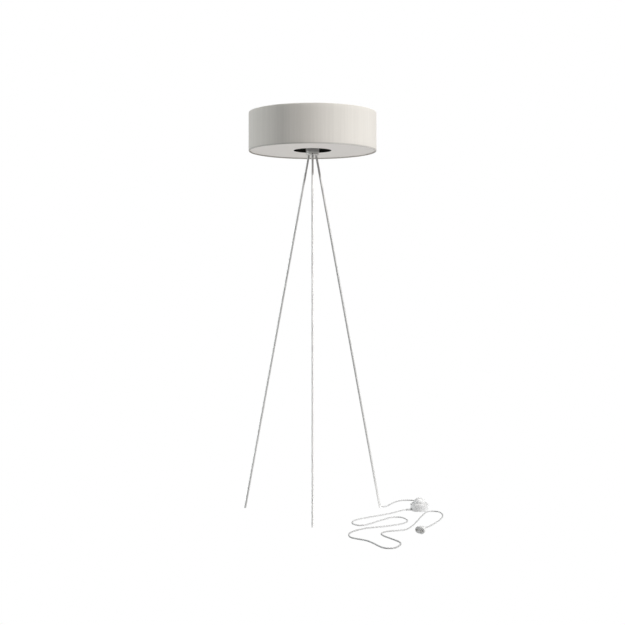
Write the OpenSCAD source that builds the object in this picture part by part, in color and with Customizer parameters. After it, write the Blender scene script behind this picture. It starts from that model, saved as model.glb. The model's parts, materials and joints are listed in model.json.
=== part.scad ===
// Tripod floor lamp: three slim tube legs meet in a small hub, which carries a round
// fabric drum shade with an opal disc below it. A foot switch and a plug lie on the floor.
// The origin is on the lamp's axis at floor level, +Z up, the front leg towards -Y.

/* [Overall] */
// Height of the lamp to the top edge of the shade
overall_h = 1570; // [1200:5:2000]
// Radius of the circle that the three feet stand on, at the leg axes
foot_circle_r = 314; // [230:1:400]

/* [Legs] */
// Outside diameter of a leg tube
leg_d = 8.5; // [7:0.1:12]
// Wall of a leg tube
leg_wall = 0.8; // [0.5:0.1:0.8]
// Distance from the lamp axis to a leg axis at the underside of the hub
leg_top_r = 16.5; // [15:0.5:17]
// Depth to which a leg goes into the hub, along the leg
leg_socket_depth = 24; // [16:1:26]
// Thickness of the foot cap's head, along the leg
foot_cap_head = 3; // [2:0.5:4]
// Length of the foot cap's stem inside the tube
foot_cap_stem = 2; // [1.5:0.1:2.2]
// Length of the cord slot in the right leg
cord_slot_len = 15; // [13:1:24]

/* [Hub] */
// Outside diameter of the column sleeve
column_d = 52; // [50:1:66]
// Wall of the column sleeve
column_wall = 1.9; // [1.2:0.1:1.9]
// Height of the leg carrier block
carrier_h = 30; // [28:1:34]
// How far the carrier shows below the column sleeve
carrier_reveal = 7.7; // [5:0.1:9]
// How far the hub hangs below the shade's bottom edge
hub_drop = 13; // [10:0.5:20]
// Diameter of the grub screws that clamp the legs
grub_d = 4; // [3:0.5:4]
// Height of the grub screws above the hub's underside
grub_z = 2.7; // [2.5:0.1:3]
// Diameter of the screws that fix the sleeve to the carrier
sleeve_screw_d = 4; // [3:0.5:4]
// Thickness of the column's top cap
column_cap_t = 3; // [2:0.5:5]
// Diameter of the threaded rod that carries the shade
rod_d = 10; // [8:1:12]

/* [Shade] */
// Outside diameter of the drum shade
shade_d = 500; // [400:5:620]
// Height of the drum shade
shade_h = 152; // [126:1:200]
// Thickness of the shade fabric
fabric_t = 0.6; // [0.4:0.1:1]
// Thickness of the stiff liner behind the fabric
liner_t = 0.6; // [0.4:0.1:1]
// Diameter of the shade's ring wire
ring_wire_d = 4; // [3:0.5:5]
// Diameter of the shade carrier's arms
arm_d = 5; // [4:0.5:6]
// How far the shade carrier's centre sits below the shade's top edge
fitter_drop = 25; // [22:1:30]
// Outside diameter of the shade carrier's centre washer
fitter_washer_d = 30; // [26:1:40]
// Thickness of the shade carrier's centre washer
fitter_washer_t = 2; // [1.5:0.5:3]

/* [Diffuser and shield] */
// Thickness of the opal disc
diffuser_t = 3; // [2:0.5:4]
// Diameter of the hole in the opal disc
diffuser_hole_d = 148; // [120:1:180]
// Height of the black shield over the hole
shield_h = 22; // [19:1:27]
// Sheet thickness of the shield
shield_t = 1; // [0.8:0.1:1.5]
// Clearance of the shield's lip in the disc's hole
shield_lip_gap = 0.2; // [0.1:0.1:0.5]
// Width of the shield's flange, which rests on the opal disc
shield_flange = 8; // [5:1:14]

/* [Lamps] */
// Diameter of a lampholder's skirt
holder_d = 39; // [36:1:42]
// Length of a lampholder
holder_len = 46; // [40:1:52]
// Wall of a lampholder's skirt
holder_wall = 3; // [2:0.5:4]
// Diameter of a bulb's globe
bulb_d = 60; // [45:1:64]
// Length of a bulb outside its holder
bulb_reach = 84; // [70:1:90]
// Diameter of a bulb's screw base
bulb_base_d = 26; // [25.6:0.1:26.4]

/* [Foot switch] */
// Widest diameter of the switch, at its shoulder
switch_d = 74; // [68:1:89]
// Diameter of the switch at the floor
switch_foot_d = 69; // [64:1:72]
// Height of the shoulder's lower edge
shoulder_z = 25; // [22:1:28]
// Height of the cover's top
cover_top_z = 33; // [31:1:38]
// Diameter of the push button
button_d = 48; // [44:1:52]
// Height of the top of the button's dome
button_top_z = 52; // [48:1:56]
// Height of the button's straight skirt over the cover
button_skirt_h = 5; // [4.5:0.5:7]
// Travel of the push button
button_travel = 4; // [3:0.5:5]
// Gap around the button
button_gap = 0.8; // [0.5:0.1:1.5]
// Wall of the switch's housing
switch_wall = 2.4; // [1.6:0.1:3]
// Thickness of the rubber pad under the switch
pad_t = 1.2; // [0.8:0.1:1.6]
// Thickness of the switch's floor
switch_floor_t = 2; // [1.5:0.1:2]

/* [Cord and plug] */
// Diameter of the cord
cord_d = 5.4; // [4.5:0.1:6.6]
// Length of a switch strain relief
relief_len = 22; // [20:1:24]
// Diameter of a plug pin
plug_pin_d = 4.8; // [4:0.1:4.8]
// Length of a plug pin
plug_pin_len = 19; // [17:0.5:19]
// Distance between the two plug pins
plug_pin_pitch = 19; // [17.5:0.1:19.5]
// Width of the plug's face
plug_w = 36; // [34:1:40]
// Thickness of the plug's face
plug_h = 24; // [20:1:28]

/* [Hidden] */

$fn = 48;
// Small gap of a push or slip fit, on the radius
fit = 0.1;
// Clear air between pieces that don't touch
air = 0.5;
eps = 0.01;

// Azimuths: the legs, and the lampholders and shade arms between them
az_front = -90;
az_left = 150;
az_right = 30;
leg_azimuths = [az_front, az_left, az_right];
az_rear_lamp = 90;
az_left_lamp = 210;
az_right_lamp = 330;
lamp_azimuths = [az_rear_lamp, az_left_lamp, az_right_lamp];

// Heights that the shade, the hub and the lamps share
cap_to_fitter = 20;
lamp_drop = 25;
shade_bottom_z = overall_h - shade_h;
hub_bottom_z = shade_bottom_z - hub_drop;
fitter_z = overall_h - fitter_drop;
column_top_z = fitter_z - cap_to_fitter;
sleeve_bottom_z = hub_bottom_z + carrier_reveal;
lamp_z = column_top_z - lamp_drop;
wire_edge = 0.5;
bottom_ring_z = shade_bottom_z + wire_edge + ring_wire_d / 2;
top_ring_z = overall_h - wire_edge - ring_wire_d / 2;
diffuser_z = bottom_ring_z + ring_wire_d / 2;
diffuser_top_z = diffuser_z + diffuser_t;

// Radii of the shade's layers
fabric_in_r = shade_d / 2 - fabric_t;
liner_out_r = fabric_in_r - 0.05;
liner_in_r = liner_out_r - liner_t;
ring_r = liner_in_r - 0.05 - ring_wire_d / 2;
diffuser_r = liner_in_r - air;

// Hub
column_in_r = column_d / 2 - column_wall;
edge_chamfer = 0.6;
carrier_r = column_in_r - fit;
sleeve_screw_z = hub_bottom_z + carrier_h - 6;

// Legs: a leg's axis leans inwards by splay from the vertical
leg_r = leg_d / 2;
leg_bore_r = leg_r - leg_wall;
splay = atan((foot_circle_r - leg_top_r) / hub_bottom_z);
leg_to_hub = hub_bottom_z / cos(splay);
leg_end = leg_to_hub + leg_socket_depth;
carrier_passage_d = leg_d - 1.6;

// Where the cord leaves the right leg, in the upright plane through the leg's axis
cord_r = cord_d / 2;
exit_fall = 34;
exit_z = 10.3;
exit_reach = foot_circle_r - exit_z * tan(splay) + leg_r / cos(splay);
exit_dir = [cos(exit_fall) * cos(az_right), cos(exit_fall) * sin(az_right), -sin(exit_fall)];
exit_point = [exit_reach * cos(az_right), exit_reach * sin(az_right), exit_z];
grommet_len = 5;
grommet_d = 8.6;
cord_slot_start = 5.3;

// Foot switch: its centre on the floor, and the two cords' directions at it
switch_x = 425;
switch_y = 80;
relief_in_az = 75;
relief_out_az = 203;
relief_z = 7.5;
shoulder_r = switch_d / 2;
// Outer radius of the switch's housing at a height, and the reliefs' ends on either side of it
function housing_r(z) =
    switch_foot_d / 2 + (shoulder_r - switch_foot_d / 2) * z / shoulder_z;
relief_root_r = housing_r(relief_z) - 2.25;
relief_tip_r = housing_r(relief_z) + 2.25 + relief_len;
relief_in_dir = [cos(relief_in_az), sin(relief_in_az), 0];
relief_out_dir = [cos(relief_out_az), sin(relief_out_az), 0];
relief_in_tip = [switch_x, switch_y, relief_z] + relief_tip_r * relief_in_dir;
relief_out_tip = [switch_x, switch_y, relief_z] + relief_tip_r * relief_out_dir;
base_split_z = 12;
switch_cavity_r = switch_foot_d / 2 - switch_wall - 0.6;
cover_hole_r = button_d / 2 + button_gap;
block_top_z = 16;

// Plug: centre of its face on the floor, the way its pins point, and its roll
plug_face_x = 382;
plug_face_y = -459;
plug_az = 247;
plug_roll = 12;
plug_body_len = 40;
plug_back_w = 20;
plug_back_h = 17;
plug_relief_len = 30;
plug_z = plug_h / 2 + (plug_w - plug_h) / 2 * sin(plug_roll);
plug_dir = [cos(plug_az), sin(plug_az), 0];
plug_tail = [plug_face_x, plug_face_y, plug_z] - (plug_body_len + plug_relief_len) * plug_dir;

// Routes of the two free cords, along their centre lines on the floor
cord_a_points = [
    exit_point, exit_point + (grommet_len + 1) * exit_dir,
    [283, 163.7, 3.9], [290, 168.5, 2.8], [299, 180, 2.8], [308, 201, 2.8], [320, 238, 2.8],
    [349, 312, 2.8], [366, 337, 2.8], [388, 349, 2.8], [412, 348, 2.8], [434, 336, 2.8],
    [449, 312, 2.8], [454, 282, 2.8], [449, 213, 2.8], [446, 184, 3.4], [443, 160, 6.2],
    relief_in_tip + 8 * relief_in_dir, relief_in_tip
];
cord_b_points = [
    relief_out_tip, relief_out_tip + 10 * relief_out_dir,
    [321, 14, 3.2], [283, -30, 2.8], [165, -165, 2.8], [149, -222, 2.8], [151, -261, 2.8],
    [167, -286, 2.8], [191, -286, 2.8], [211, -258, 2.8], [294, -117, 2.8], [314, -99, 2.8],
    [337, -101, 2.8], [350, -126, 2.8], [358, -185, 2.8], [338, -246, 2.8],
    [280, -302, 2.8], [192, -355, 2.8], [137, -442, 2.8], [134, -542, 2.8],
    [188, -610, 2.8], [234, -737, 2.8], [248, -751, 2.8], [268, -750, 2.8],
    [281, -734, 2.8], [300, -652, 2.8], [244, -478, 2.8], [266, -423, 2.8],
    [334, -384, 2.8], [362, -320, 2.8], [448, 26, 2.8], [460, 45, 2.8], [478, 48, 2.8],
    [493, 39, 2.8], [501, 18, 2.8], [504, -58, 2.8], [479, -176, 2.8],
    [424, -330, 4.4], [417, -372, 10.5], plug_tail
];
ring_gap_a = 20;
ring_gap_b = 42;

// Slope at b of the smooth curve through a, b and c, over the stretch whose weight is w
function spread(u, v) = sqrt(norm(v - u));
function slope_at(a, b, c, w) =
    w * ((b - a) / spread(a, b) - (c - a) / (spread(a, b) + spread(b, c))
         + (c - b) / spread(b, c));
// A point t of the way from b to c on the smooth curve through a, b, c and d
function between(a, b, c, d, t) =
    let (w = spread(b, c))
    let (m1 = a == b ? c - b : slope_at(a, b, c, w))
    let (m2 = c == d ? c - b : slope_at(b, c, d, w))
    (2 * t * t * t - 3 * t * t + 1) * b + (t * t * t - 2 * t * t + t) * m1
    + (3 * t * t - 2 * t * t * t) * c + (t * t * t - t * t) * m2;
// Points about gap apart along the smooth curve through the points p
function smooth_route(p, gap) = [
    for (i = [0 : len(p) - 2])
        let (steps = max(1, round(norm(p[i + 1] - p[i]) / gap)))
            for (k = [0 : steps - 1])
                between(p[max(i - 1, 0)], p[i], p[i + 1], p[min(i + 2, len(p) - 1)], k / steps),
    p[len(p) - 1]
];
function unit(v) = v / norm(v);
// Directions of the route at each of its points
function headings(p) = [
    for (i = [0 : len(p) - 1])
        unit(p[min(i + 1, len(p) - 1)] - p[max(i - 1, 0)])
];
// Sideways direction that is square to a heading: level, or +Y where the heading is upright
function side_of(h) =
    norm([h[0], h[1]]) < 0.05 ? [0, 1, 0] : unit([-h[1], h[0], 0]);
function ring_at(c, h, r, sides) = [
    for (k = [0 : sides - 1])
        c + r * (cos(360 * k / sides) * side_of(h)
                 + sin(360 * k / sides) * cross(h, side_of(h)))
];

// A round tube's solid along the points p, with its ends square to first and last
module swept_tube(p, r, sides, first = undef, last = undef) {
    free_h = headings(p);
    n = len(p);
    h = [
        for (i = [0 : n - 1])
            i == 0 && first != undef ? first : i == n - 1 && last != undef ? last : free_h[i]
    ];
    points = [for (i = [0 : n - 1]) each ring_at(p[i], h[i], r, sides)];
    walls = [
        for (i = [0 : n - 2], k = [0 : sides - 1])
            each [
                [i * sides + k, (i + 1) * sides + k, (i + 1) * sides + (k + 1) % sides],
                [i * sides + k, (i + 1) * sides + (k + 1) % sides, i * sides + (k + 1) % sides]
            ]
    ];
    first_cap = [for (k = [0 : sides - 1]) k];
    last_cap = [for (k = [sides - 1 : -1 : 0]) (n - 1) * sides + k];
    polyhedron(points, concat([first_cap], walls, [last_cap]), convexity = 10);
}

// Children stand on the floor at a leg's axis, with +Z up along the leg
module on_leg(az) {
    rotate([0, 0, az])
        translate([foot_circle_r, 0, 0])
            rotate([0, -splay, 0])
                children();
}

// Children lie at the lamps' height, with +Z pointing outwards from the column
module on_lamp(az) {
    translate([0, 0, lamp_z])
        rotate([0, 0, az])
            rotate([0, 90, 0])
                children();
}

module tube(outer_r, inner_r, h) {
    difference() {
        cylinder(r = outer_r, h = h);
        translate([0, 0, -1])
            cylinder(r = inner_r, h = h + 2);
    }
}

// ---- Legs ----
module leg_tube(az) {
    color("silver")
        on_leg(az)
            translate([0, 0, foot_cap_head])
                tube(leg_r, leg_bore_r, leg_end - foot_cap_head);
}

module leg_front() {
    leg_tube(az_front);
}

module leg_left() {
    leg_tube(az_left);
}

// The right leg is the one that carries the lead, so it has a slot on its outer side
module leg_right() {
    slot_r = cord_r + 0.4;
    color("silver")
        difference() {
            leg_tube(az_right);
            on_leg(az_right)
                for (s = [cord_slot_start + slot_r, cord_slot_start + cord_slot_len - slot_r])
                    translate([0, 0, s])
                        rotate([0, 90, 0])
                            cylinder(r = slot_r, h = leg_d);
            on_leg(az_right)
                translate([0, -slot_r, cord_slot_start + slot_r])
                    cube([leg_d, 2 * slot_r, cord_slot_len - 2 * slot_r]);
        }
}

module foot_cap(az) {
    color("whitesmoke")
        intersection() {
            on_leg(az)
                union() {
                    translate([0, 0, -leg_d])
                        cylinder(r = leg_r, h = leg_d + foot_cap_head);
                    cylinder(r = leg_bore_r - 0.05, h = foot_cap_head + foot_cap_stem);
                }
            rotate([0, 0, az])
                translate([foot_circle_r - leg_d, -leg_d, 0])
                    cube([2 * leg_d, 2 * leg_d, 2 * leg_d]);
        }
}

module foot_cap_front() {
    foot_cap(az_front);
}

module foot_cap_left() {
    foot_cap(az_left);
}

module foot_cap_right() {
    foot_cap(az_right);
}

// ---- Hub ----
// Distance from the lamp axis to the outer side of a leg at the grub screws' height
leg_side_at_grub = foot_circle_r - (hub_bottom_z + grub_z) * tan(splay) + leg_r / cos(splay);

module leg_carrier() {
    color("silver")
        difference() {
            translate([0, 0, hub_bottom_z]) {
                cylinder(r1 = carrier_r - edge_chamfer, r2 = carrier_r, h = edge_chamfer);
                translate([0, 0, edge_chamfer])
                    cylinder(r = carrier_r, h = carrier_h - edge_chamfer);
            }
            for (az = leg_azimuths) {
                on_leg(az)
                    translate([0, 0, leg_to_hub - leg_d])
                        cylinder(r = leg_r + fit, h = leg_d + leg_socket_depth);
                on_leg(az)
                    translate([0, 0, leg_to_hub])
                        cylinder(d = carrier_passage_d, h = 2 * carrier_h);
                rotate([0, 0, az])
                    translate([leg_top_r, 0, hub_bottom_z + grub_z])
                        rotate([0, 90, 0])
                            cylinder(d = grub_d, h = carrier_r);
            }
            for (az = lamp_azimuths)
                rotate([0, 0, az])
                    translate([carrier_r - 9, 0, sleeve_screw_z])
                        rotate([0, 90, 0])
                            cylinder(d = sleeve_screw_d, h = 10);
        }
}

// Hex socket set screws, one to each leg
module leg_grub_screws() {
    grub_start = leg_side_at_grub + grub_d / 2 * tan(splay) + 0.05;
    grub_len = carrier_r - 0.4 - grub_start;
    color("dimgray")
        for (az = leg_azimuths)
            rotate([0, 0, az])
                translate([grub_start, 0, hub_bottom_z + grub_z])
                    rotate([0, 90, 0])
                        difference() {
                            cylinder(d = grub_d - 0.04, h = grub_len);
                            translate([0, 0, grub_len - 1.6])
                                cylinder(d = 2.3, h = 2, $fn = 6);
                        }
}

module column_sleeve() {
    color("silver")
        difference() {
            translate([0, 0, sleeve_bottom_z])
                difference() {
                    union() {
                        cylinder(r1 = column_d / 2 - edge_chamfer, r2 = column_d / 2,
                                 h = edge_chamfer);
                        translate([0, 0, edge_chamfer])
                            cylinder(r = column_d / 2,
                                     h = column_top_z - sleeve_bottom_z - edge_chamfer);
                    }
                    translate([0, 0, -1])
                        cylinder(r = column_in_r, h = column_top_z);
                }
            for (az = lamp_azimuths) {
                on_lamp(az)
                    cylinder(d = rod_d + 0.2, h = column_d);
                rotate([0, 0, az])
                    translate([0, 0, sleeve_screw_z])
                        rotate([0, 90, 0])
                            cylinder(d = sleeve_screw_d + 0.4, h = column_d);
            }
        }
}

// Low-headed screws through the sleeve into the carrier
module sleeve_screws() {
    color("silver")
        for (az = lamp_azimuths)
            rotate([0, 0, az])
                translate([carrier_r - 7.5, 0, sleeve_screw_z])
                    rotate([0, 90, 0]) {
                        cylinder(d = sleeve_screw_d - 0.04, h = 7.5 + fit + column_wall);
                        translate([0, 0, 7.5 + fit + column_wall])
                            difference() {
                                cylinder(d1 = 7, d2 = 6, h = 1.2);
                                translate([0, 0, 0.4])
                                    cylinder(d = 2.5, h = 1, $fn = 6);
                            }
                    }
}

module column_cap() {
    color("silver")
        translate([0, 0, column_top_z])
            difference() {
                union() {
                    cylinder(r = column_d / 2, h = column_cap_t);
                    translate([0, 0, -6])
                        cylinder(r = column_in_r - fit, h = 6 + eps);
                }
                translate([0, 0, -10])
                    cylinder(d = rod_d + 0.2, h = 20);
            }
}

// ---- Shade carrier ----
nut_h = 4;
finial_h = 12;

module shade_rod() {
    color("silver")
        translate([0, 0, column_top_z - 12])
            cylinder(d = rod_d, h = fitter_z + fitter_washer_t + finial_h - 3 - column_top_z + 12);
}

module hex_nut(z) {
    translate([0, 0, z])
        difference() {
            cylinder(d = 1.95 * rod_d, h = nut_h, $fn = 6);
            translate([0, 0, -1])
                cylinder(d = rod_d + 0.1, h = nut_h + 2);
        }
}

// One nut below the cap, one above it, and one below the shade carrier
module rod_nuts() {
    color("silver") {
        hex_nut(column_top_z - 6 - nut_h);
        hex_nut(column_top_z + column_cap_t);
        hex_nut(fitter_z - nut_h);
    }
}

module finial() {
    color("silver")
        translate([0, 0, fitter_z + fitter_washer_t])
            difference() {
                rotate_extrude()
                    polygon([[0, 0], [9, 0], [10, 1], [10, 7], [9, 8.2], [6.5, 9], [5, finial_h],
                             [0, finial_h]]);
                translate([0, 0, -1])
                    cylinder(d = rod_d + 0.1, h = finial_h - 1);
            }
}

// Top ring, three arms and centre washer: one welded frame
module shade_fitter() {
    arm_start = fitter_washer_d / 2 - 3;
    arm_in_z = fitter_z + fitter_washer_t / 2;
    arm_run = ring_r - arm_start;
    arm_rise = top_ring_z - arm_in_z;
    color("white")
        difference() {
            union() {
                translate([0, 0, top_ring_z])
                    rotate_extrude($fn = 96)
                        translate([ring_r, 0])
                            circle(d = ring_wire_d, $fn = 24);
                translate([0, 0, fitter_z])
                    cylinder(d = fitter_washer_d, h = fitter_washer_t);
                for (az = lamp_azimuths)
                    rotate([0, 0, az])
                        translate([arm_start, 0, arm_in_z])
                            rotate([0, 90 - atan(arm_rise / arm_run), 0])
                                cylinder(d = arm_d, h = norm([arm_run, arm_rise]));
            }
            translate([0, 0, fitter_z - 1])
                cylinder(d = rod_d + 0.3, h = fitter_washer_t + 2);
            translate([0, 0, fitter_z + fitter_washer_t])
                cylinder(r = 10.5, h = 20);
            translate([0, 0, fitter_z - nut_h - 4])
                cylinder(r = 10.5, h = nut_h + 4);
        }
}

module bottom_ring() {
    color("white")
        translate([0, 0, bottom_ring_z])
            rotate_extrude($fn = 96)
                translate([ring_r, 0])
                    circle(d = ring_wire_d, $fn = 24);
}

// ---- Shade ----
module shade_fabric() {
    color("ivory")
        translate([0, 0, shade_bottom_z])
            difference() {
                cylinder(d = shade_d, h = shade_h, $fn = 96);
                translate([0, 0, -1])
                    cylinder(r = fabric_in_r, h = shade_h + 2, $fn = 96);
            }
}

module shade_liner() {
    liner_gap = 0.8;
    color("white")
        translate([0, 0, shade_bottom_z + liner_gap])
            difference() {
                cylinder(r = liner_out_r, h = shade_h - 2 * liner_gap, $fn = 96);
                translate([0, 0, -1])
                    cylinder(r = liner_in_r, h = shade_h + 2, $fn = 96);
            }
}

// Opal disc, resting on the bottom ring
module diffuser() {
    color("white")
        translate([0, 0, diffuser_z])
            difference() {
                cylinder(r = diffuser_r, h = diffuser_t, $fn = 96);
                translate([0, 0, -1])
                    cylinder(d = diffuser_hole_d, h = diffuser_t + 2, $fn = 96);
            }
}

// Black inverted dish with a lip that lines the disc's hole, and the column through its middle
module glare_shield() {
    shield_r = diffuser_hole_d / 2;
    lip_r = shield_r - shield_lip_gap;
    color("black")
        translate([0, 0, diffuser_top_z])
            rotate_extrude($fn = 96)
                polygon([
                    [shield_r + shield_flange, 0], [shield_r + shield_flange, shield_t],
                    [lip_r, shield_t], [lip_r, shield_h],
                    [column_d / 2 + 0.3, shield_h], [column_d / 2 + 0.3, shield_h - shield_t],
                    [lip_r - shield_t, shield_h - shield_t], [lip_r - shield_t, -diffuser_t],
                    [lip_r, -diffuser_t], [lip_r, 0]
                ]);
}

// ---- Lamps ----
holder_start = column_d / 2 + 1;
holder_back_t = 5;
holder_bore_r = holder_d / 2 - holder_wall;
base_len = 24;
base_start = holder_start + holder_len - base_len - 4;

// A skirt with a closed back, open at its mouth
module holder(az) {
    color("white")
        on_lamp(az)
            translate([0, 0, holder_start])
                difference() {
                    rotate_extrude()
                        polygon([[0, 0], [11, 0], [holder_d / 2 - 3, 4], [holder_d / 2, 12],
                                 [holder_d / 2, holder_len - 1], [holder_d / 2 - 1, holder_len],
                                 [0, holder_len]]);
                    translate([0, 0, 12])
                        cylinder(r = holder_bore_r, h = holder_len);
                    translate([0, 0, holder_back_t])
                        cylinder(r = 9, h = 20);
                    translate([0, 0, -1])
                        cylinder(d = rod_d + 0.1, h = 20);
                }
}

module holder_rear() {
    holder(az_rear_lamp);
}

module holder_left() {
    holder(az_left_lamp);
}

module holder_right() {
    holder(az_right_lamp);
}

// Short threaded tubes that hold the lampholders to the column
module holder_nipples() {
    nipple_start = column_in_r - 6;
    color("silver")
        for (az = lamp_azimuths)
            on_lamp(az)
                translate([0, 0, nipple_start])
                    tube(rod_d / 2, rod_d / 2 - 1.5, holder_start + holder_back_t - nipple_start);
}

// Brass tongue and carrier disc at the bottom of each lampholder
module holder_contacts() {
    color("goldenrod")
        for (az = lamp_azimuths)
            on_lamp(az)
                translate([0, 0, holder_start + 12.1]) {
                    cylinder(r = holder_bore_r - 0.3, h = 3);
                    cylinder(r = 4, h = base_start - holder_start - 12.1 - 0.3);
                }
}

module bulb_globe(az) {
    globe_r = bulb_d / 2;
    neck_z = base_start + base_len + 0.1;
    globe_c = holder_start + holder_len + bulb_reach - globe_r;
    color("white")
        on_lamp(az)
            rotate_extrude($fn = 60)
                polygon(concat(
                    [[0, neck_z], [bulb_base_d / 2 + 0.5, neck_z],
                     [bulb_base_d / 2 + 1, neck_z + 6], [bulb_base_d / 2 + 4, neck_z + 18]],
                    [for (a = [-40 : 10 : 80])
                        [globe_r * cos(a), globe_c + globe_r * sin(a)]],
                    [[0, globe_c + globe_r]]
                ));
}

module bulb_rear() {
    bulb_globe(az_rear_lamp);
}

module bulb_left() {
    bulb_globe(az_left_lamp);
}

module bulb_right() {
    bulb_globe(az_right_lamp);
}

// Screw base, with rounded thread ridges
module bulb_base(az) {
    ridge = 0.8;
    color("silver")
        on_lamp(az)
            translate([0, 0, base_start])
                rotate_extrude()
                    polygon(concat(
                        [[0, 0], [5, 0], [8, 4]],
                        [for (k = [0 : 4], e = [0 : 1])
                            [bulb_base_d / 2 - (e == 0 ? ridge : 0), 5 + 3.6 * k + 1.8 * e]],
                        [[bulb_base_d / 2 - ridge, base_len], [0, base_len]]
                    ));
}

module bulb_base_rear() {
    bulb_base(az_rear_lamp);
}

module bulb_base_left() {
    bulb_base(az_left_lamp);
}

module bulb_base_right() {
    bulb_base(az_right_lamp);
}

// ---- Wiring in the column ----
block_l = 22;
block_w = 16;
block_h = 12;
block_z = hub_bottom_z + carrier_h + 12;

module terminal_block() {
    color("ivory")
        difference() {
            translate([-block_l / 2, -block_w / 2, block_z])
                cube([block_l, block_w, block_h]);
            for (x = [-5, 5])
                translate([x, 0, block_z + block_h - 4])
                    cylinder(d = 4, h = 5);
        }
}

module terminal_screws() {
    color("silver")
        for (x = [-5, 5])
            translate([x, 0, block_z + block_h - 4])
                difference() {
                    cylinder(d = 3.8, h = 3);
                    translate([-2, -0.4, 2])
                        cube([4, 0.8, 2]);
                }
}

// Flexible leads from the terminal block out to the three lampholders
module holder_leads() {
    lead_r = 2;
    lead_gap = 5;
    lead_top = lamp_z;
    color("white")
        for (az = lamp_azimuths)
            rotate([0, 0, az])
                swept_tube(
                    smooth_route([
                        [5, 0, block_z + block_h + 0.3], [5, 0, block_z + block_h + 7],
                        [5.5, 0, lead_top - 14], [8, 0, lead_top - 4],
                        [15, 0, lead_top], [column_d / 2 + 5.5, 0, lead_top]
                    ], lead_gap),
                    lead_r, 8, first = [0, 0, 1]);
}

// Point at a distance s up a leg and x outwards from its axis, for a leg at azimuth 0
function leg_axis_point(s, x) = [
    foot_circle_r - s * sin(splay) + x * cos(splay), 0, s * cos(splay) + x * sin(splay)
];

// The supply lead: up the right leg and into the terminal block's underside
module leg_lead() {
    turn = 90 - splay - exit_fall;
    turn_r = leg_r / (1 - cos(turn));
    exit_s = (exit_z - leg_r * sin(splay)) / cos(splay);
    straight_s = exit_s + turn_r * sin(turn);
    straight_len = leg_end - 4 - straight_s;
    bend_steps = 5;
    straight_steps = 12;
    bend = [
        for (k = [bend_steps : -1 : 1])
            let (a = turn * k / bend_steps)
                leg_axis_point(straight_s - turn_r * sin(a), turn_r * (1 - cos(a)))
    ];
    straight = [
        for (k = [0 : straight_steps])
            leg_axis_point(straight_s + straight_len * k / straight_steps, 0)
    ];
    bend_z = block_z - 8;
    bend_r = leg_top_r - (bend_z - hub_bottom_z) * tan(splay) - 0.75;
    top = [
        leg_axis_point(leg_end + 4, 0), [bend_r, 0, bend_z], [6.4, 0, block_z - 3.5],
        [6, 0, block_z - 0.3]
    ];
    color("white")
        rotate([0, 0, az_right])
            swept_tube(concat(bend, straight, top), cord_r, 10,
                       first = [-cos(exit_fall), 0, sin(exit_fall)], last = [0, 0, 1]);
}

// Tapered bush around the cord where it leaves the leg
module cord_grommet() {
    color("whitesmoke")
        difference() {
            rotate([0, 0, az_right])
                translate([exit_reach, 0, exit_z])
                    rotate([0, 90 + exit_fall, 0])
                        translate([0, 0, -1.5])
                            difference() {
                                cylinder(d1 = grommet_d, d2 = cord_d + 1.4, h = grommet_len + 1.5);
                                translate([0, 0, -1])
                                    cylinder(r = cord_r + 0.15, h = grommet_len + 4);
                            }
            on_leg(az_right)
                cylinder(r = leg_r + 0.02, h = 60);
        }
}

// ---- Foot switch ----
module at_switch() {
    translate([switch_x, switch_y, 0])
        children();
}

switch_screw_r = 30.5;
screw_head_depth = 2.2;
switch_screw_azimuths = [30, 140, 260, 320];

module switch_pad() {
    color("lightgray")
        at_switch()
            difference() {
                cylinder(d = switch_foot_d - 6, h = pad_t);
                for (a = switch_screw_azimuths)
                    rotate([0, 0, a])
                        translate([switch_screw_r, 0, -1])
                            cylinder(d = 8, h = pad_t + 2);
            }
}

module relief_holes(extra) {
    for (az = [relief_in_az, relief_out_az])
        rotate([0, 0, az])
            translate([relief_root_r - 8, 0, relief_z])
                rotate([0, 90, 0])
                    cylinder(r = 4 + extra, h = 20);
}

// Lower shell with its floor, bosses and cord holes
module switch_base() {
    color("white")
        at_switch()
            difference() {
                union() {
                    difference() {
                        translate([0, 0, pad_t])
                            cylinder(r1 = housing_r(pad_t) - 0.6, r2 = housing_r(base_split_z),
                                     h = base_split_z - pad_t);
                        translate([0, 0, pad_t + switch_floor_t])
                            cylinder(r = switch_cavity_r, h = 20);
                    }
                    for (a = switch_screw_azimuths)
                        rotate([0, 0, a])
                            translate([switch_screw_r, 0, pad_t])
                                cylinder(d = 6.6, h = base_split_z - pad_t - 0.3);
                }
                for (a = switch_screw_azimuths)
                    rotate([0, 0, a])
                        translate([switch_screw_r, 0, 0]) {
                            cylinder(d = 3.4, h = 20);
                            cylinder(d = 5.8, h = pad_t + screw_head_depth);
                        }
                relief_holes(0.1);
            }
}

module switch_screws() {
    color("silver")
        at_switch()
            for (a = switch_screw_azimuths)
                rotate([0, 0, a])
                    translate([switch_screw_r, 0, pad_t + screw_head_depth - 1.8])
                        difference() {
                            union() {
                                cylinder(d = 5.4, h = 1.78);
                                cylinder(d = 2.9, h = base_split_z + 2);
                            }
                            translate([-0.4, -2, -1])
                                cube([0.8, 4, 1.7]);
                        }
}

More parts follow.
